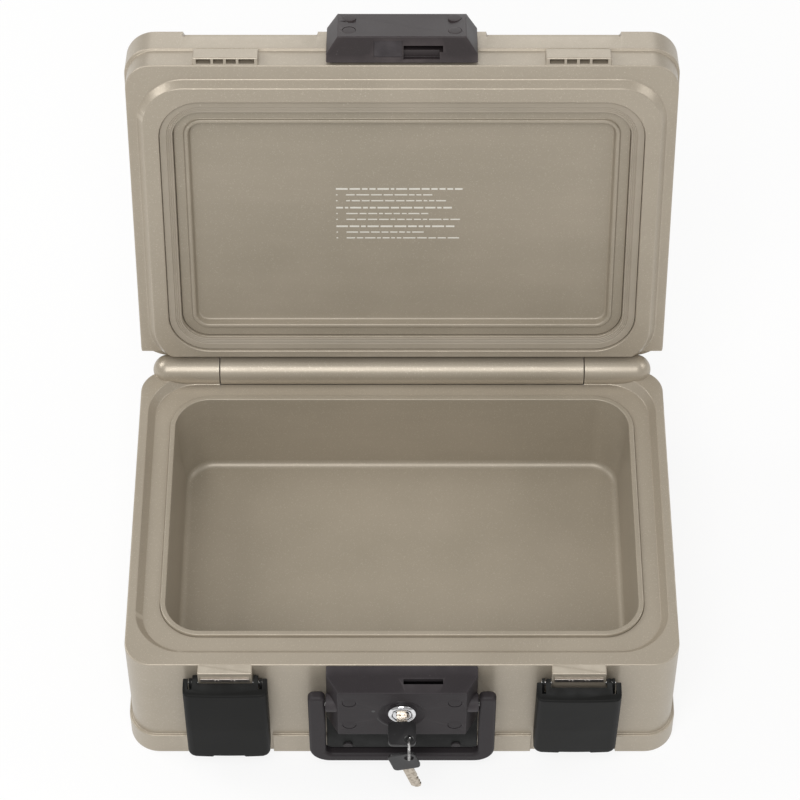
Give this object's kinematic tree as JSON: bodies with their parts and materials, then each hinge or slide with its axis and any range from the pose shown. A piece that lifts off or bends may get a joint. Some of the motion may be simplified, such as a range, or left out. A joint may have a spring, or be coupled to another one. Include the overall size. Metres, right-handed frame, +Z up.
{
  "type": "fireproof document box",
  "caption": "Fire-resistant document box, open: insulated base and hinged lid, key lock with rising hook, swing-link side latches, bail handle and keys.",
  "frame": {"origin": "centre of the underside, on the surface the box stands on", "axes": "+X to the right seen from the front, +Y to the back (hinge side), +Z up; the lock and handle face -Y"},
  "size_m": [0.405, 0.4457, 0.3983],
  "materials": {
    "body_plastic": "champagne metallic flake, satin",
    "liner_plastic": "champagne metallic flake, satin",
    "insulation": "rough",
    "latch_plastic": "satin",
    "lock_plastic": "satin",
    "cap_plastic": "satin",
    "steel": "satin",
    "chrome": "polished",
    "seal_rubber": "matte",
    "key_plastic": "satin",
    "brass": "satin"
  },
  "bodies": {
    "base": {"base_shell": "body_plastic", "base_liner": "liner_plastic", "base_insulation": "insulation", "hinge_pins": "steel", "back_plate": "lock_plastic", "lock_housing": "lock_plastic", "housing_plugs": "lock_plastic", "housing_screws": "steel", "lock_barrel": "steel", "lock_nut": "steel", "lock_bezel": "chrome", "handle_pins": "steel", "latch_plates": "steel", "latch_pins": "steel"},
    "lid": {"lid_shell": "body_plastic", "lid_liner": "liner_plastic", "lid_insulation": "insulation", "lid_seal": "seal_rubber", "lock_cap": "cap_plastic", "cap_plugs": "cap_plastic", "cap_screws": "steel", "strike_plate": "steel"},
    "plug": {"lock_plug": "chrome", "lock_hook": "brass", "hook_nut": "steel"},
    "key": {"key_blade": "chrome", "key_head": "key_plastic"},
    "ring": {"key_ring": "chrome"},
    "spare_key": {"spare_blade": "chrome", "spare_head": "key_plastic"},
    "handle": {"handle": "lock_plastic"},
    "left_link": {"left_link": "steel"},
    "left_lever": {"left_lever": "latch_plastic", "left_lever_pins": "steel"},
    "right_link": {"right_link": "steel"},
    "right_lever": {"right_lever": "latch_plastic", "right_lever_pins": "steel"}
  },
  "joints": [
    {"name": "lid_hinge", "type": "hinge", "parent": "base", "child": "lid", "pos_m": [0, 0.136, 0.114], "axis": [1, 0, 0], "range_deg": [0, 105]},
    {"name": "lock_turn", "type": "hinge", "parent": "base", "child": "plug", "pos_m": [0, -0.15, 0.086], "axis": [0, 1, 0], "range_deg": [-90, 0]},
    {"name": "key_pull", "type": "slide", "parent": "plug", "child": "key", "axis": [0, -1, 0], "range_m": [0, 0.12]},
    {"name": "ring_swing", "type": "hinge", "parent": "key", "child": "ring", "pos_m": [0.005, -0.1846, 0.086], "axis": [1, 0, 0], "range_deg": [-10, 0]},
    {"name": "spare_key_swing", "type": "hinge", "parent": "ring", "child": "spare_key", "pos_m": [0.005, -0.1846, 0.0725], "axis": [1, 0, 0], "range_deg": [-8, 8]},
    {"name": "handle_swing", "type": "hinge", "parent": "base", "child": "handle", "pos_m": [0, -0.15, 0.088], "axis": [1, 0, 0], "range_deg": [-100, 0]},
    {"name": "left_link_swing", "type": "hinge", "parent": "base", "child": "left_link", "pos_m": [-0.127, -0.14, 0.099], "axis": [1, 0, 0], "range_deg": [-156.92, 0]},
    {"name": "left_lever_swing", "type": "hinge", "parent": "left_link", "child": "left_lever", "pos_m": [-0.127, -0.143, 0.0843], "axis": [1, 0, 0], "range_deg": [0, 156.92]},
    {"name": "right_link_swing", "type": "hinge", "parent": "base", "child": "right_link", "pos_m": [0.127, -0.14, 0.099], "axis": [1, 0, 0], "range_deg": [-148.92, 0]},
    {"name": "right_lever_swing", "type": "hinge", "parent": "right_link", "child": "right_lever", "pos_m": [0.127, -0.14502, 0.08486], "axis": [1, 0, 0], "range_deg": [0, 143.93]}
  ],
  "couplings": [
    {"joint": "key_pull", "follows": "handle_swing", "m_per_rad": -0.0687},
    {"joint": "left_lever_swing", "follows": "left_link_swing", "ratio": -1},
    {"joint": "right_lever_swing", "follows": "right_link_swing", "ratio": -0.96643}
  ]
}
